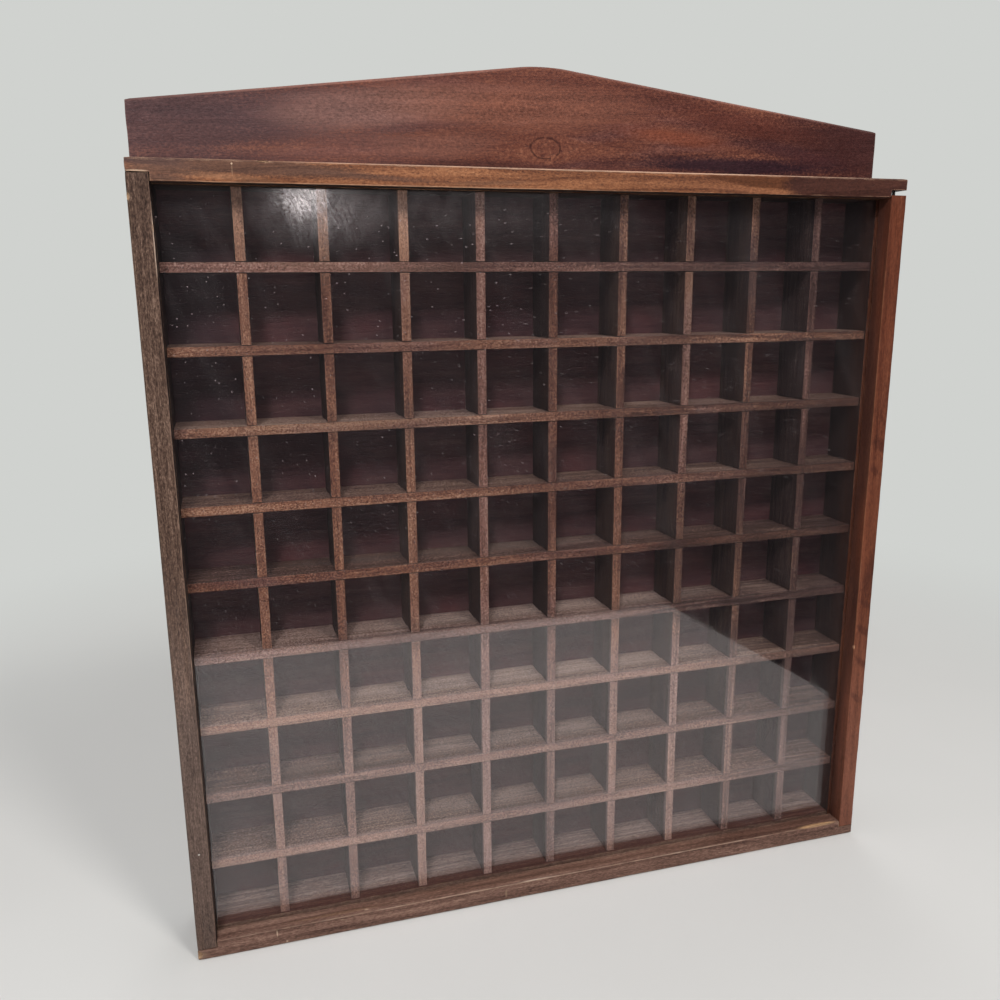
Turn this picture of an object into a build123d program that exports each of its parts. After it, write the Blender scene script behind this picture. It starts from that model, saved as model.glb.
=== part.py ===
from build123d import *
import os

# A shallow wooden display case for a hundred thimbles: a nailed frame of four boards with a
# crest along the top, an egg-crate of nine shelves and nine dividers, a thin back panel, and a
# pane of glass that lifts out upwards through a slot in the top rail.
# Millimetres. The origin is the middle of the footprint, on the surface the case stands on.
# +X is the viewer's right, +Y runs from the glass towards the wall, and +Z is up.

# Frame boards
case_width = 381.0  # 15 in across the frame
case_height = 380.0  # from the table to the upper face of the top rail
board_thickness = 9.5  # 3/8 in stock for both rails and both side boards
board_depth = 38.1  # 1 1/2 in from the front edge to the rear edge
rabbet_depth = 3.6  # step at each end of a rail, where it laps the end of a side board
right_joint_gap = 2.2  # the right side board stops this far short of the top rail
edge_radius = 0.8  # eased outer front edge of each frame board

# Crest board, which stands on the top rail
crest_thickness = 9.5
crest_end_height = 27.2  # above the top rail, at both ends
crest_rise = 23.5  # from the ends to the point where the two slopes would meet
crest_peak_radius = 92.0  # rounds off that point
crest_edge_radius = 1.2  # eased upper front edge

# Back panel, nailed on behind the boards
panel_thickness = 3.2

# Pane and the groove that holds it
lip_depth = 9.7  # wood in front of the groove
groove_depth = 3.5  # into the bottom rail and both side boards
pane_thickness = 2.0
pane_play = 0.2  # free space before and behind the pane in its groove
pane_side_play = 0.4  # free space at each side of the pane
pane_top_drop = 0.4  # the pane's upper edge lies this far below the top of the rail

# Shelves and dividers, halved into each other
shelf_count = 9
divider_count = 9
slat_thickness = 4.8  # 3/16 in
slat_gap = 0.9  # from the back of the groove to the front edges of the slats
lap_play = 0.1  # free space at each side of a slat in its slot

# Nails: a flat head, let in flush, on a plain shank with a point
nail_play = 0.05  # free space all round a nail in its hole
frame_nail = {"length": 24.0, "radius": 0.8, "head_radius": 1.8, "head_thickness": 0.7}
crest_nail = {"length": 27.0, "radius": 0.8, "head_radius": 1.8, "head_thickness": 0.7}
panel_nail = {"length": 12.0, "radius": 0.6, "head_radius": 1.7, "head_thickness": 0.6}
hanger_nail = {"length": 8.0, "radius": 0.6, "head_radius": 1.5, "head_thickness": 0.7}
nail_point_ratio = 2.0  # length of a nail's point over its radius
panel_side_nails = 4  # down each side board
panel_rail_nails = 5  # along each rail
panel_nail_margin = 25.0  # from the panel's corners to the first nail

# Sawtooth hangers on the back of the crest
hanger_length = 44.0
hanger_height = 9.0
hanger_sheet = 0.9  # thickness of the pressed metal
hanger_rise = 1.3  # how far the toothed middle stands off the wood
hanger_foot = 8.0  # length of each flat end
hanger_slope = 2.5  # length of the bend between a foot and the middle
hanger_spacing = 200.0  # between the middles of the two hangers
hanger_base_height = 10.0  # from the top rail up to the lower edge of a hanger
tooth_pitch = 2.6
tooth_depth = 1.6

# Places worked out from the sizes above
half_width = case_width / 2
inner_half_width = half_width - board_thickness
side_middle_x = half_width - board_thickness / 2
front_y = -(board_depth + panel_thickness) / 2
boards_rear_y = front_y + board_depth
rear_y = boards_rear_y + panel_thickness
floor_z = board_thickness
ceiling_z = case_height - board_thickness
groove_front_y = front_y + lip_depth
groove_rear_y = groove_front_y + pane_thickness + 2 * pane_play
groove_half_width = inner_half_width + groove_depth
slat_front_y = groove_rear_y + slat_gap
lap_y = (slat_front_y + boards_rear_y) / 2
crest_front_y = boards_rear_y - crest_thickness
crest_middle_y = boards_rear_y - crest_thickness / 2


def block(x_low, x_high, y_low, y_high, z_low, z_high):
    size = (x_high - x_low, y_high - y_low, z_high - z_low)
    corner = (Align.MIN, Align.MIN, Align.MIN)
    return Pos(x_low, y_low, z_low) * Box(*size, align=corner)


def slat_centres(low, high, count):
    # Evenly spaced slats, which leave count + 1 equal openings between low and high.
    opening = (high - low - count * slat_thickness) / (count + 1)
    step = opening + slat_thickness
    return [low + step * number - slat_thickness / 2 for number in range(1, count + 1)]


def evenly_spaced(low, high, count):
    step = (high - low) / (count - 1)
    return [low + step * number for number in range(count)]


shelf_heights = slat_centres(floor_z, ceiling_z, shelf_count)
divider_places = slat_centres(-inner_half_width, inner_half_width, divider_count)


def nail(kind, play=0.0):
    # Head's outer face at z = 0 and the point downwards. With play it is the hole for the nail.
    radius = kind["radius"] + play
    point_length = radius * nail_point_ratio
    shank_end = kind["length"] - point_length
    below = (Align.CENTER, Align.CENTER, Align.MAX)
    head = Cylinder(kind["head_radius"] + play, kind["head_thickness"], align=below)
    shank = Cylinder(radius, shank_end, align=below)
    point = Pos(0, 0, -shank_end) * Cone(0.1 * radius, radius, point_length, align=below)
    return head + shank + point


def driven(kind, places, play=0.0):
    # Copies of one nail, each at the middle of its head and with its direction.
    return [place * nail(kind, play) for place in places]


def frame_nail_places():
    # Two nails at each corner, through the lap of the rail into the end of the side board.
    in_front = (front_y + groove_front_y) / 2
    behind = (groove_rear_y + crest_front_y) / 2
    places = []
    for x in (-side_middle_x, side_middle_x):
        for y in (in_front, behind):
            places.append(Pos(x, y, case_height))
            places.append(Pos(x, y, 0) * Rot(180, 0, 0))
    return places


def crest_nail_places():
    # Up through the top rail, in the middle of a compartment so that no divider covers the head.
    pitch = divider_places[1] - divider_places[0]
    first = divider_places[0] + pitch / 2
    steps = (0, divider_count // 4, divider_count - 2 - divider_count // 4, divider_count - 2)
    return [Pos(first + pitch * step, crest_middle_y, ceiling_z) * Rot(180, 0, 0) for step in steps]


def panel_nail_places():
    # Round the edge of the panel, into the middle of each board behind it.
    from_behind = Rot(-90, 0, 0)
    bottom_middle_z = board_thickness / 2
    top_middle_z = case_height - board_thickness / 2
    side_heights = evenly_spaced(panel_nail_margin, case_height - panel_nail_margin, panel_side_nails)
    rail_reach = half_width - panel_nail_margin
    rail_places = evenly_spaced(-rail_reach, rail_reach, panel_rail_nails)
    at_sides = [(x, z) for x in (-side_middle_x, side_middle_x) for z in side_heights]
    at_rails = [(x, z) for x in rail_places for z in (bottom_middle_z, top_middle_z)]
    return [Pos(x, rear_y, z) * from_behind for x, z in at_sides + at_rails]


def hanger_middles():
    height = case_height + hanger_base_height
    return [Pos(side * hanger_spacing / 2, boards_rear_y, height) for side in (-1, 1)]


def hanger_nail_places(middle):
    # One nail through each foot; its head stands on the sheet metal.
    reach = (hanger_length - hanger_foot) / 2
    head_y = hanger_sheet + hanger_nail["head_thickness"]
    return [middle * Pos(x, head_y, hanger_height / 2) * Rot(-90, 0, 0) for x in (-reach, reach)]


def rail_blank():
    # Outer face down on z = 0, with a rabbet across both ends of the inner face.
    blank = block(-half_width, half_width, front_y, boards_rear_y, 0, board_thickness)
    outer_edge = blank.edges().filter_by(Axis.X).group_by(Axis.Z)[0].sort_by(Axis.Y)[0]
    blank = fillet(outer_edge, edge_radius)
    step_z = board_thickness - rabbet_depth
    for low, high in ((-half_width, -inner_half_width), (inner_half_width, half_width)):
        blank -= block(low, high, front_y, boards_rear_y, step_z, board_thickness)
    return blank


def bottom_rail():
    kerf_z = board_thickness - groove_depth
    kerf = block(-half_width, half_width, groove_front_y, groove_rear_y, kerf_z, board_thickness)
    return rail_blank() - kerf


def top_rail():
    rail = Pos(0, 0, case_height) * mirror(rail_blank(), about=Plane.XY)
    slot = block(-groove_half_width, groove_half_width, groove_front_y, groove_rear_y, 0, case_height)
    return rail - slot


def side_board(side, joint_gap):
    # side is -1 for the left board and 1 for the right one. It stands on the bottom rail's lap.
    low_z = board_thickness - rabbet_depth
    high_z = case_height - board_thickness + rabbet_depth - joint_gap
    board = block(inner_half_width, half_width, front_y, boards_rear_y, low_z, high_z)
    outer_edge = board.edges().filter_by(Axis.Z).group_by(Axis.X)[-1].sort_by(Axis.Y)[0]
    board = fillet(outer_edge, edge_radius)
    board -= block(inner_half_width, groove_half_width, groove_front_y, groove_rear_y, low_z, high_z)
    return board if side > 0 else mirror(board, about=Plane.YZ)


def back_panel():
    return block(-half_width, half_width, boards_rear_y, rear_y, 0, case_height)


def crest_board():
    peak = crest_end_height + crest_rise
    corners = [
        (-half_width, 0),
        (half_width, 0),
        (half_width, crest_end_height),
        (0, peak),
        (-half_width, crest_end_height),
    ]
    outline = make_face(Polyline(*corners, close=True))
    outline = fillet(outline.vertices().sort_by(Axis.Y)[-1], crest_peak_radius)
    # The outline is drawn flat, so it is stood up with its face towards the viewer.
    crest = Pos(0, boards_rear_y, case_height) * Rot(90, 0, 0) * extrude(outline, crest_thickness)
    front = crest.faces().sort_by(Axis.Y)[0]
    upper_edges = [edge for edge in front.edges() if edge.center().Z > case_height + crest_end_height]
    return fillet(upper_edges, crest_edge_radius)


def shelf(middle_z):
    # Runs from side board to side board and is slotted from behind for the dividers.
    low_z = middle_z - slat_thickness / 2
    high_z = middle_z + slat_thickness / 2
    slot_half = slat_thickness / 2 + lap_play
    slat = block(-inner_half_width, inner_half_width, slat_front_y, boards_rear_y, low_z, high_z)
    for x in divider_places:
        slat -= block(x - slot_half, x + slot_half, lap_y, boards_rear_y, low_z, high_z)
    return slat


def divider(middle_x):
    # Stands between the rails and is slotted from the front for the shelves.
    low_x = middle_x - slat_thickness / 2
    high_x = middle_x + slat_thickness / 2
    slot_half = slat_thickness / 2 + lap_play
    slat = block(low_x, high_x, slat_front_y, boards_rear_y, floor_z, ceiling_z)
    for z in shelf_heights:
        slat -= block(low_x, high_x, slat_front_y, lap_y, z - slot_half, z + slot_half)
    return slat


def glass_pane():
    half_pane = groove_half_width - pane_side_play
    front = groove_front_y + pane_play
    foot_z = board_thickness - groove_depth
    return block(-half_pane, half_pane, front, front + pane_thickness, foot_z, case_height - pane_top_drop)


def hanger(middle):
    # Pressed strip: two flat feet, and a middle that stands off and has teeth along its lower edge.
    half_length = hanger_length / 2
    foot_end = half_length - hanger_foot
    half_middle = foot_end - hanger_slope
    against_wood = [(half_length, 0), (foot_end, 0), (half_middle, hanger_rise)]
    outside = [(x, y + hanger_sheet) for x, y in reversed(against_wood)]
    right_half = against_wood[::-1] + outside[::-1]
    left_half = [(-x, y) for x, y in reversed(right_half)]
    strip = extrude(make_face(Polyline(*right_half, *left_half, close=True)), hanger_height)
    teeth = int(2 * half_middle / tooth_pitch)
    for number in range(teeth):
        x = (number - (teeth - 1) / 2) * tooth_pitch
        notch = Polyline((x - tooth_pitch / 2, 0), (x + tooth_pitch / 2, 0), (x, tooth_depth), close=True)
        reach = hanger_rise + hanger_sheet
        strip -= Pos(0, reach, 0) * Rot(90, 0, 0) * extrude(make_face(notch), reach)
    return middle * strip


def export_node(name, solids):
    group = solids[0] if len(solids) == 1 else Compound(children=solids)
    export_step(group, os.path.join("parts", name + ".step"))


os.makedirs("parts", exist_ok=True)

frame_nails = frame_nail_places()
crest_nails = crest_nail_places()
panel_nails = panel_nail_places()
hanger_nails = [place for middle in hanger_middles() for place in hanger_nail_places(middle)]
frame_holes = driven(frame_nail, frame_nails, nail_play)
crest_holes = driven(crest_nail, crest_nails, nail_play)
panel_holes = driven(panel_nail, panel_nails, nail_play)
hanger_holes = driven(hanger_nail, hanger_nails, nail_play)

export_node("top_rail", [top_rail() - frame_holes - crest_holes - panel_holes])
export_node("bottom_rail", [bottom_rail() - frame_holes - panel_holes])
export_node("left_side_board", [side_board(-1, 0.0) - frame_holes - panel_holes])
export_node("right_side_board", [side_board(1, right_joint_gap) - frame_holes - panel_holes])
export_node("back_panel", [back_panel() - panel_holes])
export_node("crest_board", [crest_board() - crest_holes - hanger_holes])
export_node("glass_pane", [glass_pane()])
for number, height in enumerate(shelf_heights, start=1):
    export_node(f"shelf_{number}", [shelf(height)])
for number, place in enumerate(divider_places, start=1):
    export_node(f"divider_{number}", [divider(place)])
for name, middle in zip(("left_hanger", "right_hanger"), hanger_middles()):
    export_node(name, [hanger(middle) - hanger_holes])
export_node("frame_nails", driven(frame_nail, frame_nails))
export_node("crest_nails", driven(crest_nail, crest_nails))
export_node("back_panel_nails", driven(panel_nail, panel_nails))
export_node("hanger_nails", driven(hanger_nail, hanger_nails))
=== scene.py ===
import math

import bmesh
import bpy
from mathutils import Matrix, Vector


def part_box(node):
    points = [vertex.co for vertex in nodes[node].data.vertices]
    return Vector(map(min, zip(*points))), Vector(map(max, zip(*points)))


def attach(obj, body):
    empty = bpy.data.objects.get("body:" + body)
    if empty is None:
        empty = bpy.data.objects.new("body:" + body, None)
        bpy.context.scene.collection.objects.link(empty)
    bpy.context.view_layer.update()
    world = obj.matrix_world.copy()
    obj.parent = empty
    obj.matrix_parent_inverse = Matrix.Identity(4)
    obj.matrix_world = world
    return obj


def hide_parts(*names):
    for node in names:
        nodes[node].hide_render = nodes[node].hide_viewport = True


# Dresses the thimble case. Metres; the front looks along -Y and +Z is up.
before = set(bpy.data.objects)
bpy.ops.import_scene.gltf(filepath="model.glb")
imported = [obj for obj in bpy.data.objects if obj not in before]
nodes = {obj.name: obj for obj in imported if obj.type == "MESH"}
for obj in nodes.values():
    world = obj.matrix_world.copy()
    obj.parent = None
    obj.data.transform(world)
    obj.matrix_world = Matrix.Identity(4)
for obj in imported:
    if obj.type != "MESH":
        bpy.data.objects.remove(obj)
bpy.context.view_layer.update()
bpy.ops.object.select_all(action="DESELECT")
mm = 0.001
print("frame loaded:", len(nodes), "parts")

# Places that several pieces share, all read from the frame
leftLow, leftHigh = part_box("left_side_board")
rightLow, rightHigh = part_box("right_side_board")
topLow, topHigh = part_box("top_rail")
bottomLow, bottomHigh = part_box("bottom_rail")
crestLow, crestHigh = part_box("crest_board")
paneLow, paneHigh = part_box("glass_pane")
shelfNames = [f"shelf_{number}" for number in range(1, 10)]
dividerNames = [f"divider_{number}" for number in range(1, 10)]
shelfLow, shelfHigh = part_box(shelfNames[0])
dividerLow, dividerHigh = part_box(dividerNames[0])
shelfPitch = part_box(shelfNames[1])[0].z - shelfLow.z
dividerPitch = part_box(dividerNames[1])[0].x - dividerLow.x
innerHalf = rightLow.x  # half the clear width between the side boards
panePlay = 0.2 * mm  # free space before and behind the pane
grooveFront = paneLow.y - panePlay
grooveBack = paneHigh.y + panePlay
grooveHalf = paneHigh.x + 0.4 * mm  # the groove runs this far to each side
slatThick = shelfHigh.z - shelfLow.z
lapLine = (shelfLow.y + shelfHigh.y) / 2  # a shelf's slots start here, a divider's end here
frontY = topLow.y
rearY = topHigh.y
lowLapZ = leftLow.z  # the rails lie over the ends of the side boards from here outwards
highLapZ = leftHigh.z
closeBy = 0.02 * mm  # two places nearer than this are the same
weldReach = 0.001 * mm  # two points nearer than this become one


def shade(red, green, blue):
    # a colour as the eye reads it, 0 to 255, turned into the light values that Blender mixes
    def toLight(value):
        value = value / 255
        return value / 12.92 if value <= 0.04045 else ((value + 0.055) / 1.055) ** 2.4

    return (toLight(red), toLight(green), toLight(blue), 1.0)


class Wire:
    # a shader socket that can be used in sums
    def __init__(self, finish, socket):
        self.finish = finish
        self.socket = socket

    def __add__(self, other):
        return self.finish.math("ADD", self, other)

    __radd__ = __add__

    def __sub__(self, other):
        return self.finish.math("SUBTRACT", self, other)

    def __rsub__(self, other):
        return self.finish.math("SUBTRACT", other, self)

    def __mul__(self, other):
        return self.finish.math("MULTIPLY", self, other)

    __rmul__ = __mul__

    def __truediv__(self, other):
        return self.finish.math("DIVIDE", self, other)

    def __pow__(self, other):
        return self.finish.math("POWER", self, other)

    def __abs__(self):
        return self.finish.math("ABSOLUTE", self)


class Finish:
    # one procedural material, or the world, and the nodes it is made of
    def __init__(self, name, owner=None):
        self.owner = owner or bpy.data.materials.new(name)
        self.owner.use_nodes = True
        self.tree = self.owner.node_tree
        self.tree.nodes.clear()
        self.place = self.node("TexCoord", take="Object")

    def node(self, kind, settings=None, values=None, take=0):
        made = self.tree.nodes.new("ShaderNode" + kind)
        for name, value in (settings or {}).items():
            if name == "stops":
                self.setStops(made.color_ramp.elements, value)
            else:
                setattr(made, name, value)
        for name, value in (values or {}).items():
            if isinstance(value, Wire):
                self.tree.links.new(value.socket, made.inputs[name])
            else:
                made.inputs[name].default_value = value
        return Wire(self, made.outputs[take]) if made.outputs else None

    def setStops(self, elements, stops):
        while len(elements) < len(stops):
            elements.new(1.0)
        for element, (position, colour) in zip(elements, stops):
            element.position = position
            element.color = colour

    def math(self, operation, *values):
        return self.node("Math", {"operation": operation}, dict(enumerate(values)))

    def vector(self, operation, *values, take=0):
        return self.node("VectorMath", {"operation": operation}, dict(enumerate(values)), take)

    def stretch(self, vector, sizes):
        return self.vector("MULTIPLY", vector, sizes)

    def shift(self, vector, other):
        return self.vector("ADD", vector, other)

    def reach(self, vector):
        return self.vector("LENGTH", vector, take="Value")

    def around(self, at, size, turn=0):
        # places as seen from a spot: 0 in its middle and 1 at its rim
        values = {
            "Vector": self.place, "Location": [value * mm for value in at],
            "Rotation": (0.0, math.radians(turn), 0.0), "Scale": [value * mm for value in size],
        }
        return self.node("Mapping", {"vector_type": "TEXTURE"}, values)

    def noise(self, vector, scale, detail=2.0, roughness=0.5):
        # scale is 1000 divided by the size of a cell in millimetres
        sizes = scale if isinstance(scale, tuple) else (scale, scale, scale)
        values = {"Scale": 1.0, "Detail": detail, "Roughness": roughness}
        return self.node("TexNoise", None, {"Vector": self.stretch(vector, sizes), **values})

    def chance(self, dimensions, value):
        # an even random number for each whole place
        name = {"1D": "W", "2D": "Vector"}[dimensions]
        return self.node("TexWhiteNoise", {"noise_dimensions": dimensions}, {name: value}, take="Value")

    def ease(self, value, low, high):
        # 0 below low, 1 above high and a smooth climb between them
        values = {"Value": value, "From Min": low, "From Max": high}
        return self.node("MapRange", {"interpolation_type": "SMOOTHSTEP"}, values)

    def blend(self, mask, under, over):
        return self.node("Mix", {"data_type": "RGBA"}, {0: mask, 6: under, 7: over}, take=2)

    def mixShader(self, mask, under, over):
        return self.node("MixShader", None, {0: mask, 1: under, 2: over})

    def split(self, vector):
        made = self.node("SeparateXYZ", None, {0: vector})
        return [Wire(self, socket) for socket in made.socket.node.outputs]

    def seen(self):
        # 1 for what the eye sees, also in a mirror and through glass
        rays = self.node("LightPath").socket.node.outputs
        eye = self.math("MAXIMUM", Wire(self, rays["Is Camera Ray"]), Wire(self, rays["Is Glossy Ray"]))
        return self.math("MAXIMUM", eye, Wire(self, rays["Is Transmission Ray"]))

    def close(self, shader, kind="OutputMaterial"):
        self.node(kind, None, {"Surface": shader})
        return self.owner


def addPatch(paint, under, raggedness, grain, at, size, stainAndShading, strength, turn=0, ragged=1.0, core=0.3):
    # a soft oval of another tone, through which the grain still shows: stains and marks, and painted light
    # and shade
    far = paint.reach(paint.around(at, size, turn)) + raggedness * ragged
    over = paint.node("VectorMath", {"operation": "SCALE"}, {0: shade(*stainAndShading)[:3], "Scale": grain})
    return paint.blend((1 - paint.ease(far, core, 1.0)) * strength, under, over)


def facingMask(paint, way):
    # 1 on the faces that look the given way
    flat = paint.node("NewGeometry", take="True Normal")
    return paint.ease(paint.vector("DOT_PRODUCT", flat, way, take="Value"), 0.6, 0.8)


# What a wood has unless its own dictionary says otherwise; sizes are in millimetres
plainWood = {
    "grain": "X", "shift": (0, 0, 0), "lean": (0, 0, 0), "waveScale": (5.0, 24.0, 24.0),
    "lateRange": (0.2, 0.85), "streakSize": (140, 6.5), "fibreSize": (14.0, 0.66),
    "fleckSize": (1.6, 0.7), "poreSize": (3.0, 0.4), "poreRange": (0.56, 0.68),
    "cloudScale": (9.0, 28.0, 28.0), "rubScale": 140.0, "dullScale": 30.0, "edgeSpread": (0.45, 0.62),
    "bumpDepth": 0.25, "knots": (), "sides": (), "frontAt": (0, 1), "frontPatches": (), "patches": (),
}


def woodFinish(name, wood):
    wood = {**plainWood, **wood}
    paint = Finish(name)
    laid = (0.0, math.radians(90) if wood["grain"] == "Z" else 0.0, 0.0)
    upright = paint.node("Mapping", None, {"Vector": paint.place, "Rotation": laid})
    values = {"Vector": upright, "Rotation": [math.radians(value) for value in wood["lean"]],
              "Location": [value * mm for value in wood["shift"]]}
    log = paint.node("Mapping", None, values)  # X now runs along the grain

    # a knot parts the grain round it and has a dark, broken rim
    rims = []
    for knot in wood["knots"]:
        local = paint.around(knot["at"], knot["size"])
        lumps = paint.noise(paint.place, (95.0, 0.0, 120.0), 3.0, 0.6) - 0.5
        far = paint.reach(paint.stretch(local, (1.0, 0.0, 1.0))) + lumps * 0.5
        swell = 1 - paint.ease(far, 0.5, 3.2)
        _, _, height = paint.split(local)
        log = paint.shift(log, paint.node("CombineXYZ", None, {2: height * swell * (-knot["part"] * mm)}))
        gaps = paint.noise(paint.place, (330.0, 0.0, 330.0), 2.0, 0.6)
        rim = 1 - paint.ease(abs(far - 1.0), 0.02, 0.13)
        rims.append(rim * paint.ease(gaps, 0.32, 0.5) * knot["dark"])

    # growth rings round a heart that lies behind the board, bent by a slow wave
    bend = (paint.noise(log, wood["waveScale"]) - 0.5) * (wood["wave"] * mm)
    along, deep, across = paint.split(log)
    heart = [value * mm for value in wood["heart"]]
    offset = paint.node("CombineXYZ", None, {1: deep - heart[0], 2: across - heart[1]})
    ring = (paint.reach(offset) + bend) / (wood["ringWidth"] * mm)
    uneven = paint.noise(paint.node("CombineXYZ", None, {0: ring * 0.7, 1: along * 3.0}), 1.0, 1.0)
    turn = paint.math("FRACT", ring + uneven * 1.6)
    lateWood = paint.ease(turn, *wood["lateRange"]) * (1 - paint.ease(turn, 0.88, 1.0))

    # streaks, fibres, pores and flecks, all long in the run of the grain
    shifted = paint.shift(log, paint.node("CombineXYZ", None, {1: bend, 2: bend}))

    def drawnOut(vector, size, detail, roughness=0.5):
        long, wide = size
        return paint.noise(vector, (1000.0 / long, 1000.0 / wide, 1000.0 / wide), detail, roughness)

    streaks = drawnOut(shifted, wood["streakSize"], 4.0, 0.62)
    fibres = drawnOut(shifted, wood["fibreSize"], 3.0, 0.75)
    pores = paint.ease(drawnOut(shifted, wood["poreSize"], 1.5), *wood["poreRange"])
    flecks = drawnOut(shifted, wood["fleckSize"], 2.0, 0.75)
    clouds = paint.noise(log, wood["cloudScale"], 3.0, 0.6)

    tone = (streaks - 0.5) * wood["streaks"] + (fibres - 0.5) * wood["fibres"]
    tone = tone + (flecks - 0.5) * wood["flecks"]
    tone = tone + (clouds - 0.5) * wood["clouds"] - (lateWood - 0.3) * wood["rings"] + 0.5
    if "pitch" in wood:
        # each slat was cut from another stick, so its tone is its own
        stick = paint.split(paint.place)["XYZ".index(wood["stacked"])] / wood["pitch"] + 0.5
        number = paint.math("FLOOR", stick - wood["first"])
        tone = tone + (paint.chance("1D", number) - 0.5) * wood["unlike"]

    def stained(tones):
        steps = [(step / (len(tones) - 1), shade(*colour)) for step, colour in enumerate(tones)]
        return paint.node("ValToRGB", {"stops": steps}, {0: tone})

    # the stain took unevenly, so a second set of tones comes and goes
    colour = stained(wood["tones"])
    if "second" in wood:
        second = wood["second"]
        spread = drawnOut(log, second["size"], 2.5, 0.6)
        if "pitch" in wood:
            spread = spread + (paint.chance("1D", number + 0.5) - 0.5) * 0.35
        spread = paint.ease(spread, *second["share"]) * second["strength"]
        colour = paint.blend(spread, colour, stained(second["tones"]))
    # faces that look one way get their own tones: ply layers and a bare back, and painted light and shade
    for side in wood["sides"]:
        mask = facingMask(paint, side["way"])
        if "behind" in side:
            _, deepness, _ = paint.split(paint.place)
            reach = side.get("soft", 1.0)
            mask = mask * paint.ease(deepness, (side["behind"] - reach) * mm, (side["behind"] + reach) * mm)
        over = stained(side["tones"])
        if "second" in side:
            over = paint.blend(spread, over, stained(side["second"]))
        colour = paint.blend(mask, colour, over)
    poreColour = shade(*wood["poreColour"])
    colour = paint.blend(pores * wood["pores"], colour, poreColour)
    raggedness = (streaks - 0.5) * 0.9 + (clouds - 0.5) * 0.8 + (flecks - 0.5) * 0.5
    grain = (tone - 0.5) * 0.9 + 1.0
    y, deep = wood["frontAt"]
    front = [((x, y, z), (wide, deep, high), *rest) for x, z, wide, high, *rest in wood["frontPatches"]]
    for patch in (*front, *wood["patches"]):
        colour = addPatch(paint, colour, raggedness, grain, *patch)
    for rim in rims:
        colour = paint.blend(rim, colour, poreColour)

    # rubbed edges: where the surface turns sharply the stain is worn through
    rounded = paint.node("Bevel", {"samples": 4}, {"Radius": wood["edgeReach"] * mm})
    flat = paint.node("NewGeometry", take="True Normal")
    facing = paint.vector("DOT_PRODUCT", rounded, flat, take="Value")
    rubbing = paint.noise(paint.place, wood["rubScale"], 3.0, 0.7)
    worn = paint.ease(1 - facing, 0.02, 0.2) * paint.ease(rubbing, *wood["edgeSpread"])
    colour = paint.blend(worn * wood["edgeShare"], colour, shade(*wood["edgeColour"]))

    dull = paint.noise(paint.place, wood["dullScale"], 3.0)
    roughness = wood["roughness"] + (dull - 0.5) * 0.25 + pores * 0.15 + worn * 0.12
    height = fibres * 0.6 + streaks * 0.3 + flecks * 0.3 - pores * 0.8 - lateWood * 0.15
    values = {"Strength": wood["relief"], "Distance": wood["bumpDepth"] * mm, "Height": height}
    normal = paint.node("Bump", None, values, take="Normal")
    values = {"Base Color": colour, "Roughness": roughness, "Normal": normal,
              "Specular IOR Level": wood["sheen"]}
    return paint.close(paint.node("BsdfPrincipled", None, values))


# Colours are as the eye reads them, 0 to 255.
# Stained woods, each with the marks that its board has, and with painted light and shade where noted.
# A patch is a row: its middle and half sizes in millimetres, its colour and its strength, and then, where
# they aren't 0, 1 and 0.3, its turn in degrees, how ragged its rim is and the share that is its core.
# The rows of frontPatches leave out the depth, which frontAt gives once, both the place and the half size.
crestWood = woodFinish("crestStainAndShading", {
    "shift": (40, 0, 12), "lean": (0, 2.5, 0), "heart": (70, 30), "wave": 14, "ringWidth": 7.5,
    "rings": 0.1, "streaks": 0.8, "streakSize": (150, 8), "fibres": 0.7, "flecks": 1.6,
    "fleckSize": (1.5, 0.9), "clouds": 1.2, "pores": 0.35, "poreSize": (2.4, 0.5),
    "tones": ((66, 33, 29), (94, 52, 43), (117, 69, 54), (146, 92, 70)),
    "second": {"size": (90, 12), "share": (0.5, 0.68), "strength": 0.75,
               "tones": ((64, 34, 34), (88, 52, 49), (112, 72, 66), (136, 94, 84))},
    "poreColour": (50, 25, 25), "edgeColour": (150, 108, 96), "edgeReach": 1.0, "edgeShare": 0.45,
    "edgeSpread": (0.3, 0.55), "roughness": 0.42, "sheen": 0.18, "relief": 0.25,
    "knots": ({"at": (1, 8, 393), "size": (7.6, 60, 4.9), "part": 2.2, "dark": 0.7},),
    "frontAt": (8, 60), "frontPatches": (
        (-172, 396, 112, 44, (76, 55, 57), 0.82), (-122, 403, 56, 11, (86, 63, 65), 0.4, -5),
        (-98, 389, 66, 9, (114, 75, 68), 0.7, -2, 1.4), (-100, 381, 90, 5, (90, 60, 58), 0.6),
        (-88, 407, 58, 13, (138, 99, 90), 0.7, -5), (-52, 392, 40, 8, (130, 85, 72), 0.5, -3),
        (-66, 400, 44, 2.4, (94, 60, 57), 0.5, -6), (192, 398, 104, 46, (60, 31, 30), 0.9),
        (108, 408, 60, 9, (84, 42, 35), 0.75, 7), (68, 400.5, 42, 5.6, (126, 66, 46), 0.6, 6, 1.6),
        (104, 387.5, 90, 6.6, (50, 29, 36), 0.95, 0.5), (142, 394, 44, 6, (66, 36, 38), 0.7, 8),
        (40, 395, 34, 2.2, (80, 42, 36), 0.5, 9), (36, 384, 44, 4, (78, 44, 42), 0.6, 4),
        (-20, 384.0, 60, 3, (72, 40, 36), 0.6), (-14, 411, 80, 14, (144, 92, 74), 0.5),
    ),
    # the light lines along the eased top edges are partly wear and partly painted highlight
    "patches": (
        ((-95, 8.4, 418.6), (120, 2.0, 1.2), (160, 114, 102), 0.5, -7.03, 1.1, 0.4),
        ((95, 8.4, 418.6), (120, 2.0, 1.1), (150, 106, 96), 0.4, 7.03, 1.1, 0.4),
    ),
})
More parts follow.
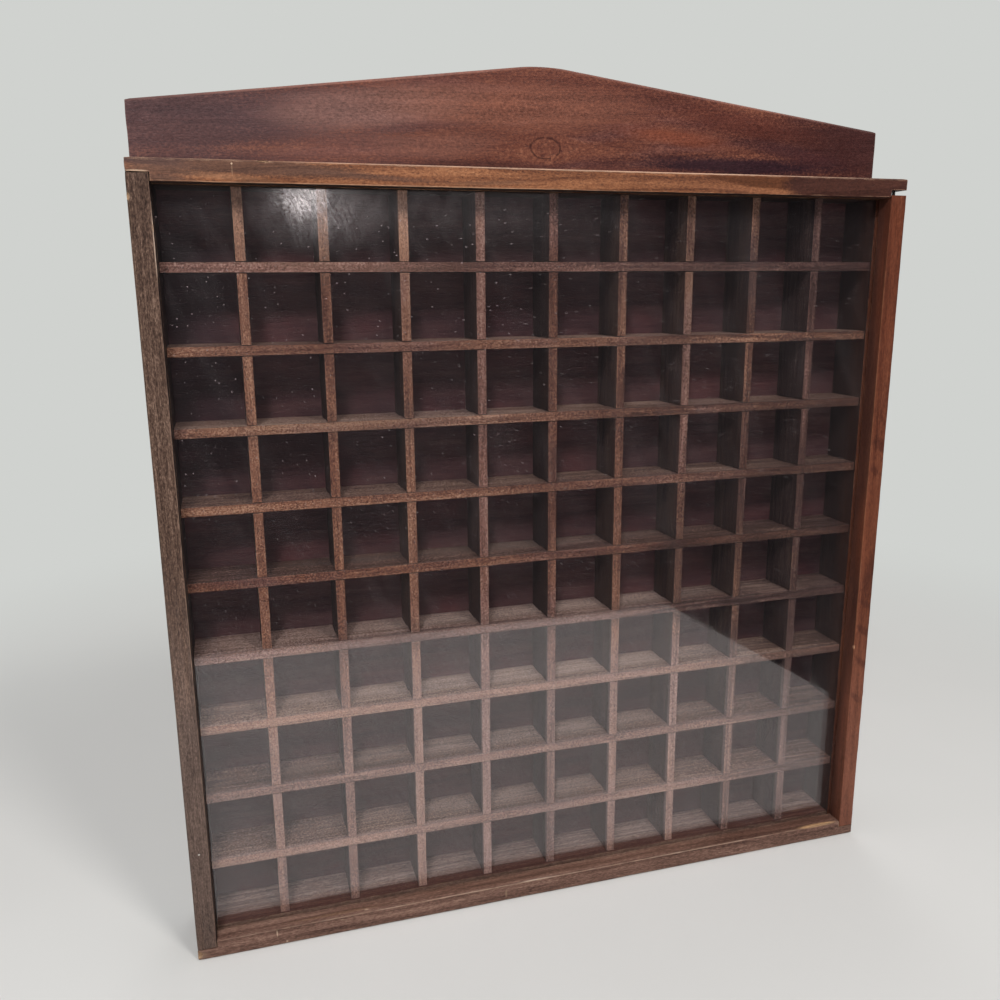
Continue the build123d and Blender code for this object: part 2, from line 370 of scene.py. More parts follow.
goldenRailWood = woodFinish("goldenRailStainAndShading", {
    "shift": (-30, 0, 3), "lean": (0, 1.6, 0), "heart": (26, 14), "wave": 30, "ringWidth": 6, "rings": 0.2,
    "streaks": 1.3, "streakSize": (110, 6), "fibres": 0.6, "flecks": 1.2, "fleckSize": (1.5, 0.8),
    "clouds": 0.6, "pores": 0.4, "poreSize": (1.8, 0.5),
    "tones": ((78, 45, 34), (113, 69, 47), (147, 96, 66), (177, 123, 87)),
    "poreColour": (64, 40, 33), "edgeColour": (190, 152, 124), "edgeReach": 0.8, "edgeShare": 0.75,
    "edgeSpread": (0.42, 0.6), "roughness": 0.5, "sheen": 0.18, "relief": 0.35,
    # the underside is toned near black as painted shade
    "sides": (
        {"way": (0, 0, -1), "tones": ((26, 18, 18), (38, 26, 24), (50, 34, 30))},
        {"way": (0, 0, 1), "tones": ((70, 48, 42), (96, 68, 56), (120, 86, 66))},
    ),
    "frontAt": (-20, 8), "frontPatches": (
        (-144, 377.6, 64, 4.6, (86, 60, 50), 0.85, 2.2, 0.8, 0.5),
        (-92, 374.6, 44, 1.7, (100, 70, 58), 0.65, 3, 0.8),
        (-182, 379, 22, 3.4, (80, 56, 54), 0.85, 0, 0.6),
        (-158, 373.6, 36, 1.9, (136, 96, 72), 0.6, 4.3, 0.6), (-178, 375, 24, 8, (88, 63, 55), 0.72),
        (-176, 372, 14, 1.6, (92, 66, 56), 0.7, 4, 0.6), (-34, 373, 30, 1.5, (110, 76, 58), 0.6, -2, 0.8),
        (98, 379.8, 38, 5.8, (96, 56, 36), 0.92, 6, 0.25, 0.75),
        (95, 372.5, 34, 1.4, (144, 92, 66), 0.5, 2), (172, 377, 58, 16, (71, 41, 35), 0.95, 0, 0.3, 0.8),
    ),
    # a scratch, a chip, and light lines along both front arrises, partly wear and partly painted highlight
    "patches": (
        ((-148, -20.6, 378.3), (0.5, 3, 0.5), (206, 176, 148), 0.9, 0, 0.3, 0.5),
        ((-148, -20.6, 375.6), (0.38, 3, 3.0), (176, 140, 112), 0.3, 0, 2.2),
        ((0, -20.65, 380), (260, 1.3, 0.8), (196, 158, 134), 0.85, 0, 0.9, 0.6),
        ((-70, -20.65, 370.7), (150, 1.4, 0.5), (176, 134, 106), 0.8, 0, 1.1, 0.5),
        ((-186, -20.65, 374.6), (6, 1.4, 0.5), (190, 160, 136), 0.8, 0, 0.8, 0.5),
    ),
})
wornRailWood = woodFinish("wornRailStainAndShading", {
    "shift": (90, 0, -20), "lean": (0, -0.5, 0), "heart": (-34, -22), "wave": 12, "ringWidth": 4.4,
    "rings": 0.2, "streaks": 1.2, "streakSize": (120, 4), "fibres": 1.0, "flecks": 1.4,
    "fleckSize": (2.2, 0.7), "clouds": 0.6, "pores": 0.35, "poreSize": (3.0, 0.45),
    "tones": ((70, 49, 43), (101, 74, 64), (126, 96, 84), (154, 122, 107)),
    "poreColour": (46, 31, 27), "edgeColour": (168, 138, 116), "edgeReach": 0.9, "edgeShare": 0.8,
    "edgeSpread": (0.42, 0.58), "roughness": 0.6, "sheen": 0.15, "relief": 0.5,
    # the top face is darker just behind the pane as painted shade, and lighter further in as painted light
    "sides": (
        {"way": (0, 0, 1), "behind": -9.5, "tones": ((66, 41, 38), (94, 60, 54), (120, 82, 73))},
        {"way": (0, 0, 1), "behind": -1, "soft": 2, "tones": ((84, 63, 59), (134, 107, 100),
                                                              (180, 152, 143))},
    ),
    "frontAt": (-20, 8), "frontPatches": (
        (-192, 3.0, 9, 3, (150, 124, 104), 0.7, 0, 1.2),
    ),
    "patches": (
        ((-151.7, -20.6, 7.2), (0.45, 4, 2.6), (186, 160, 138), 0.8, 0, 1.0),
        ((-147, -20.6, 1.6), (1.0, 4, 0.8), (186, 160, 138), 0.8, 30, 0.8),
        ((-118, -20.6, 7.6), (3.2, 4, 0.35), (166, 138, 118), 0.6, 20, 0.9),
        ((-30, -20.6, 4.5), (0.8, 4, 3.4), (150, 124, 102), 0.6, 0, 1.0),
        ((-14, -20.3, 9.5), (22, 1.1, 0.6), (206, 186, 170), 0.8, 0, 0.8, 0.5),
        ((-106, -18, 9.5), (2.6, 1.2, 0.6), (190, 164, 142), 0.7, 12, 0.8),
        ((-120, -17, 9.5), (34, 1.6, 2), (136, 104, 82), 0.6),
        ((166, -19.6, 9.4), (16, 1.9, 1.2), (202, 160, 118), 0.9, 0, 0.7, 0.5),
        ((0, -15, 9.5), (230, 6, 0.6), (104, 74, 60), 0.5),
        # painted shade on the right end of the top face
        ((145, -15, 9.5), (80, 7, 0.8), (82, 53, 43), 0.55),
        ((-10, -20.65, 9.4), (260, 0.9, 0.7), (182, 156, 138), 0.85, 0, 0.9, 0.45),
    ),
})
darkSideWood = woodFinish("darkSideStainAndShading", {
    "grain": "Z", "shift": (20, 8, 50), "lean": (0, 0.4, 0), "heart": (44, -8), "wave": 8, "ringWidth": 3.6,
    "rings": 0.1, "streaks": 1.0, "streakSize": (50, 1.3), "fibres": 1.3, "flecks": 1.9,
    "fleckSize": (1.6, 0.6), "clouds": 1.0, "pores": 0.45, "poreSize": (2.0, 0.45),
    "tones": ((48, 34, 29), (74, 55, 46), (97, 75, 64), (128, 103, 89)),
    "poreColour": (36, 25, 22), "edgeColour": (160, 134, 112), "edgeReach": 0.7, "edgeShare": 0.6,
    "edgeSpread": (0.42, 0.6), "roughness": 0.62, "sheen": 0.14, "relief": 0.6,
    # the inner face is toned dark as painted shade
    "sides": (
        {"way": (1, 0, 0), "tones": ((34, 22, 24), (48, 33, 34), (64, 46, 44))},
    ),
    "frontAt": (-20, 8), "frontPatches": (
        (-186, 90, 20, 130, (108, 91, 84), 0.65),
    ),
    "patches": (
        ((-185.7, -20.6, 59), (0.6, 3, 0.5), (206, 198, 190), 0.9, 0, 0.3, 0.6),
        ((-189.9, -20.6, 364.5), (1.0, 3, 1.6), (160, 136, 120), 0.7, 0, 0.6),
        ((-181.2, -20.65, 345), (0.6, 1.5, 22), (188, 164, 146), 0.85, 0, 0.9, 0.4),
        ((-181.1, -20.65, 190), (0.45, 1.2, 190), (158, 132, 114), 0.75, 0, 1.1, 0.4),
    ),
})
orangeSideWood = woodFinish("orangeSideStainAndShading", {
    "grain": "Z", "shift": (-60, -5, 12), "lean": (0, 1.2, 0), "heart": (60, 30), "wave": 10,
    "ringWidth": 7.0, "rings": 0.15, "streaks": 1.0, "streakSize": (90, 4), "fibres": 1.0, "flecks": 1.1,
    "fleckSize": (2.4, 0.8), "clouds": 0.8, "pores": 0.4, "poreSize": (3.0, 0.5),
    "tones": ((70, 35, 25), (94, 50, 35), (114, 65, 46), (138, 84, 61)),
    "poreColour": (66, 34, 26), "edgeColour": (170, 118, 90), "edgeReach": 0.8, "edgeShare": 0.5,
    "roughness": 0.42, "sheen": 0.2, "relief": 0.2,
    # the inner face is toned darker as painted shade, and darker still behind the pane
    "sides": (
        {"way": (-1, 0, 0), "tones": ((56, 33, 27), (77, 46, 37), (99, 61, 47))},
        {"way": (-1, 0, 0), "behind": -9, "tones": ((36, 26, 25), (50, 37, 35), (66, 49, 45))},
    ),
    "frontAt": (-20, 8), "frontPatches": (
        (186, 330, 30, 70, (100, 52, 35), 0.6), (186, 190, 30, 40, (116, 64, 44), 0.5),
        (186, 60, 30, 90, (130, 80, 62), 0.65), (189, 168, 6, 22, (74, 38, 29), 0.7, 14),
        (187, 240, 9, 4, (76, 40, 31), 0.7, 36), (185, 226, 8, 2.4, (80, 42, 32), 0.7, 40),
        (186, 148, 9, 2.6, (80, 42, 32), 0.7, 38), (186, 132, 9, 3, (82, 44, 34), 0.75, 38),
        (187, 112, 9, 3, (84, 46, 36), 0.75, 42), (185, 90, 9, 2.4, (88, 50, 40), 0.6, 40),
    ),
    "patches": (
        ((181.2, -20.65, 122), (0.7, 2, 1.6), (192, 150, 118), 0.85, 0, 0.5, 0.5),
        ((181.1, -20.65, 190), (0.4, 1.2, 200), (150, 96, 68), 0.6, 0, 1.2, 0.4),
    ),
})
slatStainAndShading = {
    "heart": (50, 40), "wave": 12, "ringWidth": 4.5, "rings": 0.1, "streaks": 1.0, "streakSize": (60, 2.2),
    "fibres": 0.8, "flecks": 2.2, "fleckSize": (1.0, 0.75), "clouds": 1.0, "pores": 0.5,
    "poreSize": (1.2, 0.55),
    # the faces inside the compartments are toned dark as painted shade
    "tones": ((37, 26, 28), (52, 38, 38), (68, 51, 49), (90, 70, 66)),
    "second": {"size": (60, 30), "share": (0.42, 0.62), "strength": 0.9,
               "tones": ((40, 27, 26), (56, 39, 36), (74, 54, 47), (96, 73, 64))},
    "poreColour": (46, 29, 27), "edgeColour": (160, 126, 112), "edgeReach": 0.4, "edgeShare": 0.5,
    "roughness": 0.65, "sheen": 0.12, "relief": 0.5,
    # the front edges are lighter, partly their own colour and partly painted light; the tops as painted
    # light
    "sides": (
        {"way": (0, -1, 0), "tones": ((78, 47, 43), (113, 74, 66), (143, 101, 91),
                                      (176, 137, 126)),
         "second": ((82, 48, 39), (121, 76, 60), (152, 104, 82), (186, 140, 114))},
        {"way": (0, 0, 1), "tones": ((56, 37, 35), (96, 69, 64), (138, 107, 99),
                                     (180, 149, 139)),
         "second": ((56, 37, 33), (97, 69, 61), (138, 107, 96), (178, 147, 132))},
    ),
    # The fronts carry painted light and shade: the lighter band low down is a painted reflection of the
    # floor.
    "frontAt": (-7.6, 4), "frontPatches": (
        # The lighter zone at the upper left is painted light beside the glare; the darker zones are painted
        # shade.
        (0, 60, 420, 128, (172, 144, 139), 0.48, 0, 0.5), (-20, 315, 240, 80, (88, 60, 54), 0.4),
        (-110, 360, 90, 34, (168, 128, 108), 0.5), (60, 225, 210, 100, (92, 62, 55), 0.4),
        (195, 170, 165, 300, (56, 39, 38), 0.62), (160, 345, 170, 56, (48, 35, 37), 0.55),
        (66, 325, 66, 74, (66, 46, 43), 0.5), (-95, 263, 100, 15, (78, 55, 50), 0.5),
        (-20, 153.5, 240, 13, (62, 44, 42), 0.35), (130, 182, 115, 58, (46, 34, 34), 0.4),
    ),
    "unlike": 0.35,
}
shelfWood = woodFinish("shelfStain", {
    **slatStainAndShading, "stacked": "Z", "pitch": shelfPitch, "first": (shelfLow.z + shelfHigh.z) / 2 / shelfPitch,
    # a painted reflection of the floor at the lower left, and painted shade to the right and on upper
    # shelves
    "patches": (
        ((-10, 9, 110), (185, 14, 125), (204, 176, 166), 0.42),
        ((190, 6, 170), (130, 20, 150), (58, 41, 40), 0.66),
        ((-60, 8, 338.6), (260, 22, 12), (44, 31, 31), 0.5),
    ),
})
dividerWood = woodFinish("dividerStain", {
    **slatStainAndShading, "grain": "Z", "shift": (30, 12, 0), "stacked": "X", "pitch": dividerPitch,
    "first": (dividerLow.x + dividerHigh.x) / 2 / dividerPitch,
    # painted shade on the sides in the upper rows
    "patches": (
        ((0, 10, 420), (900, 15, 300), (44, 31, 31), 0.8),
    ),
})
plyEdge = ((58, 40, 32), (84, 60, 47), (110, 82, 64))
plyHeart = ((96, 72, 52), (132, 104, 78), (160, 132, 102))
plyLayers = (
    {"tones": plyEdge}, {"behind": 18.6, "soft": 0.1, "tones": plyHeart},
    {"behind": 19.6, "soft": 0.1, "tones": plyEdge},
)
panelWood = woodFinish("panelStainAndShading", {
    "shift": (0, 30, 0), "heart": (14, 400), "wave": 16, "ringWidth": 5.0, "rings": 0.05, "streaks": 0.55,
    "streakSize": (100, 5), "fibres": 0.4, "flecks": 0.5, "fleckSize": (3.2, 0.9), "clouds": 1.0,
    "pores": 0.2, "poreSize": (4.0, 0.5),
    # the front is partly a dark stain and partly painted shade of the compartments
    "tones": ((48, 28, 33), (70, 44, 48), (94, 63, 64), (122, 88, 86)),
    "second": {"size": (44, 26), "share": (0.48, 0.62), "strength": 0.6,
               "tones": ((52, 27, 32), (77, 41, 46), (101, 58, 60), (121, 77, 75))},
    "poreColour": (40, 24, 28), "edgeColour": (136, 108, 86), "edgeReach": 0.6, "edgeShare": 0.4,
    "roughness": 0.6, "sheen": 0.12, "relief": 0.3,
    "sides": (
        {"way": (0, 1, 0), "tones": ((88, 62, 46), (116, 86, 64), (140, 108, 82),
                                     (160, 128, 98))},
        *({"way": way, **layer} for layer in plyLayers
          for way in ((1, 0, 0), (-1, 0, 0), (0, 0, 1), (0, 0, -1))),
    ),
    "patches": (
        ((-168, 17, 300), (26, 3, 120), (50, 34, 42), 0.6),
    ),
})
bareWood = woodFinish("bareWood", {
    "heart": (40, 20), "wave": 6, "ringWidth": 3.0, "rings": 0.2, "streaks": 1.2, "streakSize": (30, 3),
    "fibres": 1.2, "flecks": 0.8, "clouds": 0.6, "pores": 0.3,
    "tones": ((96, 70, 54), (134, 104, 82), (162, 132, 104), (184, 156, 126)),
    "poreColour": (84, 58, 44), "edgeColour": (180, 154, 124), "edgeReach": 0.5, "edgeShare": 0.3,
    "roughness": 0.75, "sheen": 0.12, "relief": 0.5,
})
print("woods stained")


def glassFinish():
    glass = {
        "tint": (0.985, 0.995, 0.99, 1.0), "edge": shade(52, 82, 70), "dust": shade(188, 170, 172),
        "mirror": 0.064, "mirrorTint": (1.0, 0.925, 0.94, 1.0), "smear": 0.2, "wipeLean": 24,
        "speckCell": 5.2, "speckSize": (0.018, 0.052), "film": 0.004,
        "smudge": {"at": (-116, -10, 363), "size": (30, 60, 19)},
    }
    paint = Finish("paneGlass")
    # wiped smears: long soft strokes that scatter a little of each reflection, and hairlines in them
    lean = (0.0, math.radians(glass["wipeLean"]), 0.0)
    wiped = paint.node("Mapping", None, {"Vector": paint.place, "Rotation": lean})
    strokes = paint.noise(wiped, (60.0, 1.0, 9.0), 5.0, 0.72)
    hairs = paint.noise(wiped, (1300.0, 1.0, 110.0), 3.0, 0.7)
    breath = paint.noise(paint.place, (11.0, 1.0, 9.0), 3.0, 0.6)
    smears = paint.ease(strokes, 0.38, 0.72) * paint.ease(breath, 0.3, 0.65)
    facing = paint.node("LayerWeight", None, {"Blend": 0.5}, take="Facing")
    # a greasy smudge, which shows as fine hairlines wherever a lamp is mirrored in it
    local = paint.around(glass["smudge"]["at"], glass["smudge"]["size"], glass["wipeLean"])
    greasy = 1 - paint.ease(paint.reach(local) + (strokes - 0.5) * 1.5, 0.2, 1.0)
    dapple = paint.noise(paint.place, (800.0, 1.0, 700.0), 3.0, 0.75)
    glints = paint.ease(hairs * 0.4 + dapple * 0.6, 0.38, 0.64) * 1.5 - 0.45
    mirror = (glass["mirror"] + facing ** 5 * 0.9) * (0.25 + hairs * 1.1 + strokes * 0.4)
    mirror = mirror * (1 + greasy * glints)
    clear = paint.node("BsdfTransparent", None, {"Color": glass["tint"]})
    sharp = paint.node("BsdfGlossy", None, {"Color": glass["mirrorTint"], "Roughness": 0.03 + smears * 0.07})
    soft = paint.node("BsdfGlossy", None, {"Color": glass["mirrorTint"], "Roughness": 0.34 + strokes * 0.2})
    shine = paint.mixShader(smears * glass["smear"] + 0.04, sharp, soft)
    pane = paint.mixShader(mirror, clear, shine)
    # dust: fine specks, a few lint threads and a very thin film
    across, _, height = paint.split(paint.place)
    cell = 1000.0 / glass["speckCell"]
    flat = paint.node("CombineXYZ", None, {"X": across * cell, "Y": height * cell})
    cells = paint.node("TexVoronoi", {"voronoi_dimensions": "2D"}, {"Vector": flat, "Scale": 1.0})
    kept = paint.chance("2D", Wire(paint, cells.socket.node.outputs["Position"]))
    small, large = glass["speckSize"]
    radius = kept * kept * (large - small) + small
    specks = paint.ease(radius - cells, 0.0, 0.008) * paint.ease(kept, 0.12, 0.4)
    threads = paint.ease(paint.noise(wiped, (130.0, 1.0, 1100.0), 1.0), 0.75, 0.79)
    dust = paint.node("BsdfDiffuse", None, {"Color": glass["dust"]})
    cover = specks * 0.38 + threads * 0.12 + smears * 0.012 + hairs * 0.004 + glass["film"]
    dusty = paint.mixShader(cover, pane, dust)
    _, depth, _ = paint.split(paint.node("NewGeometry", take="True Normal"))
    edge = 1 - paint.ease(abs(depth), 0.5, 0.6)
    green = paint.node("BsdfPrincipled", None, {"Base Color": glass["edge"], "Roughness": 0.25})
    return paint.close(paint.mixShader(edge, dusty, green))


def metalFinish(name, metal):
    paint = Finish(name)
    tarnish = paint.noise(paint.place, 260.0, 4.0, 0.65)
    mask = paint.ease(tarnish, *metal["spread"])
    scratches = paint.noise(paint.place, (900.0, 900.0, 9000.0))
    colour = paint.blend(mask, shade(*metal["colour"]), shade(*metal["tarnish"]))
    roughness = metal["roughness"] + mask * 0.35 + (scratches - 0.5) * 0.2
    values = {"Strength": 0.25, "Distance": 0.05 * mm, "Height": scratches - mask * 0.6}
    normal = paint.node("Bump", None, values, take="Normal")
    values = {"Base Color": colour, "Metallic": 1 - mask * 0.6, "Roughness": roughness, "Normal": normal}
    return paint.close(paint.node("BsdfPrincipled", None, values))


clearGlass = glassFinish()
hangerBrass = metalFinish("hangerBrass", {
    "colour": (196, 164, 104), "tarnish": (120, 92, 56), "spread": (0.45, 0.7), "roughness": 0.32,
})
nailSteel = metalFinish("nailSteel", {
    "colour": (150, 148, 144), "tarnish": (96, 62, 44), "spread": (0.5, 0.66), "roughness": 0.4,
})
print("glass and metals finished")


def startSheet(name, low, high, flat, material):
    # a flat sheet between two corners, with no size along the axis called flat, left in edit mode
    bpy.ops.object.select_all(action="DESELECT")
    turns = {"X": (0, math.radians(90), 0), "Y": (math.radians(90), 0, 0), "Z": (0, 0, 0)}
    middle = [(first + second) / 2 for first, second in zip(low, high)]
    size = [second - first for first, second in zip(low, high)]
    bpy.ops.mesh.primitive_plane_add(size=1, location=middle, rotation=turns[flat])
    piece = bpy.context.object
    piece.name = name
    piece.scale = {"X": (size[2], size[1], 1), "Y": (size[0], size[2], 1), "Z": (size[0], size[1], 1)}[flat]
    bpy.ops.object.transform_apply(location=True, rotation=True, scale=True)
    piece.data.materials.append(material)
    bpy.ops.object.mode_set(mode="EDIT")
    return piece


def cutAcross(axis, places):
    # cuts the whole mesh at each place along an axis
    way = Vector([float(axis == other) for other in "XYZ"])
    for place in places:
        bpy.ops.mesh.select_all(action="SELECT")
        bpy.ops.mesh.bisect(plane_co=way * place, plane_no=way, threshold=weldReach)


def choose(piece, kind, test):
    # selects the faces or the edges that pass the test
    bpy.ops.mesh.select_mode(type=kind)
    bpy.ops.mesh.select_all(action="DESELECT")
    mesh = bmesh.from_edit_mesh(piece.data)
    mesh.normal_update()
    for part in mesh.faces if kind == "FACE" else mesh.edges:
        if test(part):
            part.select_set(True)
    bmesh.update_edit_mesh(piece.data)


def middleOf(part):
    # of a face or an edge
    return sum((vertex.co for vertex in part.verts), Vector()) / len(part.verts)


def runsAlong(edge, axis):
    way = edge.verts[1].co - edge.verts[0].co
    return abs(way["XYZ".index(axis)]) > 0.99 * way.length


def near(value, place):
    return abs(value - place) < closeBy


def lies(part, **places):
    # whether the middle of a face or an edge lies at all the given places
    return all(near(getattr(middleOf(part), axis), place) for axis, place in places.items())


def atEnds(edge, end):
    # the edges round both ends of a board that runs along X
    return near(abs(middleOf(edge).x), end) and not runsAlong(edge, "X")


def pullOut(piece, test, way):
    choose(piece, "FACE", test)
    bpy.ops.mesh.extrude_region_move(TRANSFORM_OT_translate={"value": way})


def dropFaces(piece, test):
    choose(piece, "FACE", test)
    bpy.ops.mesh.delete(type="FACE")


def easeEdges(piece, test, width, segments):
    # rounds over the sharp edges that pass the test
    def isSharp(edge):
        return len(edge.link_faces) == 2 and edge.calc_face_angle(0) > math.radians(30)

    choose(piece, "EDGE", lambda edge: isSharp(edge) and test(edge))
    bpy.ops.mesh.bevel(offset=width, offset_type="OFFSET", segments=segments, clamp_overlap=True)


def mendMesh():
    bpy.ops.mesh.select_all(action="SELECT")
    bpy.ops.mesh.remove_doubles(threshold=weldReach)
    bpy.ops.mesh.normals_make_consistent(inside=False)


def besideEdges(low, high):
    # lines a little inside both edges of a face, past which the wear doesn't reach
    return (low + 1.4 * mm, low + 4 * mm, high - 4 * mm, high - 1.4 * mm)


def evenSteps(low, high, step, keepOff=()):
    # even places between two ends, but none beside a place that is cut already
    count = max(1, round((high - low) / step))
    places = [low + (high - low) * number / count for number in range(1, count)]
    return [place for place in places if all(abs(place - other) > step / 3 for other in keepOff)]


def makeActive(piece):
    bpy.ops.object.select_all(action="DESELECT")
    piece.select_set(True)
    bpy.context.view_layer.objects.active = piece


def markRims(piece):
    # a group of the points beside a sharp turn, where a board is knocked and rubbed most
    mesh = bmesh.new()
    mesh.from_mesh(piece.data)
    mesh.normal_update()
    rims = []
    for vertex in mesh.verts:
        turns = [face.normal.angle(vertex.link_faces[0].normal, 0) for face in vertex.link_faces]
        if max(turns) > math.radians(20):
            rims.append(vertex.index)
    mesh.free()
    piece.vertex_groups.new(name="rims").add(rims, 1.0, "REPLACE")


def wearDown(piece, name, size, detail, depth, group=""):
    # an uneven push inwards by a cloudy noise, so the piece never grows
    noise = bpy.data.textures.new(name, "CLOUDS")
    noise.noise_scale = size * mm
    noise.noise_depth = detail
    push = piece.modifiers.new(name, "DISPLACE")
    push.texture = noise
    push.texture_coords = "LOCAL"
    push.mid_level = 1.0
    push.strength = depth * mm
    push.vertex_group = group
    makeActive(piece)
    bpy.ops.object.modifier_apply(modifier=name)


def carve(piece, cutter):
    # takes the cutter out of the piece, and the cut keeps the cutter's material
    makeActive(piece)
    cut = piece.modifiers.new("cut", "BOOLEAN")
    cut.operation = "DIFFERENCE"
    cut.solver = "EXACT"
    cut.material_mode = "TRANSFER"
    cut.object = cutter
    bpy.ops.object.modifier_apply(modifier="cut")
    bpy.data.objects.remove(cutter)


nailHead = {"radius": 1.85 * mm, "deep": 0.75 * mm, "inset": 1.8 * mm, "outside": 0.5 * mm}


def asCutter(lump):
    # what it cuts shows bare wood
    bpy.ops.object.transform_apply(location=True, rotation=True, scale=True)
    lump.data.materials.append(bareWood)
    return lump


def nailHole(at, inwards):
    # a cutter for the hole of a nail's head, which starts a little outside the board
    bpy.ops.object.select_all(action="DESELECT")
    turn = Vector((0, 0, 1)).rotation_difference(Vector(inwards)).to_euler()
    middle = Vector(at) + Vector(inwards) * (nailHead["deep"] - nailHead["outside"]) / 2
    bpy.ops.mesh.primitive_cylinder_add(
        vertices=32, radius=nailHead["radius"], depth=nailHead["deep"] + nailHead["outside"],
        location=middle, rotation=turn)
    return asCutter(bpy.context.object)


def frameNailPlaces(height):
    low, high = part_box("frame_nails")
    inset = nailHead["inset"]
    return [(x, y, height) for x in (low.x + inset, high.x - inset) for y in (low.y + inset, high.y - inset)]


def crestNailPlaces(height):
    low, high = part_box("crest_nails")
    first = low.x + nailHead["inset"]
    return [(first + dividerPitch * step, (low.y + high.y) / 2, height) for step in (0, 2, 5, 7)]


def lumpyChip(at, size, seed, turn=(0, 0, 0), rough=0.1):
    # a cutter for a chip or a splintered corner, a rough ball pressed to its size
    bpy.ops.object.select_all(action="DESELECT")
    bpy.ops.mesh.primitive_ico_sphere_add(subdivisions=3, radius=1.0, location=(0, 0, 0))
    lump = bpy.context.object
    bpy.ops.object.mode_set(mode="EDIT")
    bpy.ops.mesh.select_all(action="SELECT")
    bpy.ops.transform.vertex_random(offset=rough, seed=seed)
    bpy.ops.object.mode_set(mode="OBJECT")
    lump.scale = [value * mm for value in size]
    lump.rotation_euler = [math.radians(value) for value in turn]
    lump.location = [value * mm for value in at]
    return asCutter(lump)


def smoothOver(piece):
    # the small rounded edges shade softly and the wide faces stay flat
    makeActive(piece)
    bpy.ops.object.shade_smooth_by_angle(angle=math.radians(35))
    weigh = piece.modifiers.new("weigh", "WEIGHTED_NORMAL")
    weigh.keep_sharp = True
    bpy.ops.object.modifier_apply(modifier="weigh")


def keepInBox(piece, node):
    # the wear may fold a sliver outwards, and nothing may pass the size of the part
    low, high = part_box(node)
    for vertex in piece.data.vertices:
        vertex.co = [min(max(value, least), most) for value, least, most in zip(vertex.co, low, high)]


def handOver(piece, node):
    # a finished piece gets its body and the part that it stands for
    keepInBox(piece, node)
    smoothOver(piece)
    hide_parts(node)
    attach(piece, "pane" if node == "glass_pane" else "case")


def finishBoard(piece, board, holes=()):
    # nail holes and chips are cut while the faces are still flat, and the wear comes last
    bpy.ops.object.mode_set(mode="OBJECT")
    markRims(piece)
    for place, inwards in holes:
        carve(piece, nailHole(place, inwards))
    for chip in board.get("chips", ()):
        carve(piece, lumpyChip(*chip))
    for number, wear in enumerate(board["wears"]):
        wearDown(piece, f"{piece.name}Wear{number}", *wear)
    return piece


# How the boards are shaped. Rows of chips: middle and half sizes in millimetres, the seed of the lumps,
# and then the turn in degrees and the roughness. Rows of wears: the size of the unevenness, its detail, how
# deep it goes in millimetres, and the group of points that it keeps to.
boardCut = {"nose": 0.8 * mm, "step": 2.4 * mm, "fine": 1.9 * mm}


def modelRail(piece, rail, low, high, noseAt, arrisAt, holes):
    # what both rails share: rounded front edges, eased ends, and cuts for the wear to follow
    mendMesh()
    easeEdges(piece, lambda edge: lies(edge, y=frontY, z=noseAt), rail["nose"], segments=4)
    easeEdges(piece, lambda edge: lies(edge, y=frontY, z=arrisAt), rail["arris"], segments=2)
    easeEdges(piece, lambda edge: atEnds(edge, high.x), rail["arris"], segments=2)
    cutAcross("X", evenSteps(low.x, high.x, rail["step"]))
    cutAcross("Y", besideEdges(frontY, rearY))
    cutAcross("Z", evenSteps(low.z, high.z, rail["fine"]))
    mendMesh()
    return finishBoard(piece, rail, holes)


def inGroove(place):
    return grooveFront < place.y < grooveBack


def modelTopRail():
    rail = {
        **boardCut, "arris": 0.4 * mm,
        "wears": ((7, 2, 0.45, "rims"), (40, 1, 0.18)),
        "chips": (
            ((-135.5, -20.9, 380.1), (3.6, 0.8, 0.9), 3, (0, 3, 0)),
            ((-129.5, -20.9, 380.1), (1.6, 0.5, 0.5), 4),
            ((-96, -20.9, 370.2), (2.2, 0.5, 0.6), 5),
        ),
    }
    piece = startSheet("topRail", (topLow.x, frontY, topHigh.z), (topHigh.x, rearY, topHigh.z), "Z",
                       goldenRailWood)
    cutAcross("X", (-grooveHalf, -innerHalf, innerHalf, grooveHalf))
    cutAcross("Y", (grooveFront, grooveBack))
    dropFaces(piece, lambda face: abs(middleOf(face).x) < grooveHalf and inGroove(middleOf(face)))
    pullOut(piece, lambda face: True, (0, 0, highLapZ - topHigh.z))
    pullOut(piece, lambda face: lies(face, z=highLapZ) and abs(middleOf(face).x) < innerHalf,
            (0, 0, topLow.z - highLapZ))
    holes = [(place, (0, 0, -1)) for place in frameNailPlaces(topHigh.z)]
    holes += [(place, (0, 0, 1)) for place in crestNailPlaces(topLow.z)]
    return modelRail(piece, rail, topLow, topHigh, topHigh.z, topLow.z, holes)


def modelBottomRail():
    rail = {
        **boardCut, "arris": 0.4 * mm,
        "wears": ((6, 2, 0.5, "rims"), (35, 1, 0.2)),
        "chips": (
            ((-190.9, -20.9, 3.4), (2.6, 1.3, 2.4), 8, (0, 0, 0), 0.16),
            ((166, -21.0, 10.3), (15, 1.3, 1.2), 10, (0, 0.8, 0), 0.05),
            ((-151.7, -20.9, 9.7), (0.7, 0.6, 0.6), 11),
        ),
    }
    piece = startSheet("bottomRail", (bottomLow.x, frontY, 0), (bottomHigh.x, rearY, 0), "Z", wornRailWood)
    cutAcross("X", (-innerHalf, innerHalf))
    cutAcross("Y", (grooveFront, grooveBack))
    pullOut(piece, lambda face: True, (0, 0, lowLapZ))
    pullOut(piece, lambda face: lies(face, z=lowLapZ) and abs(middleOf(face).x) < innerHalf
            and not inGroove(middleOf(face)), (0, 0, bottomHigh.z - lowLapZ))
    holes = [(place, (0, 0, 1)) for place in frameNailPlaces(0)]
    return modelRail(piece, rail, bottomLow, bottomHigh, 0, bottomHigh.z, holes)


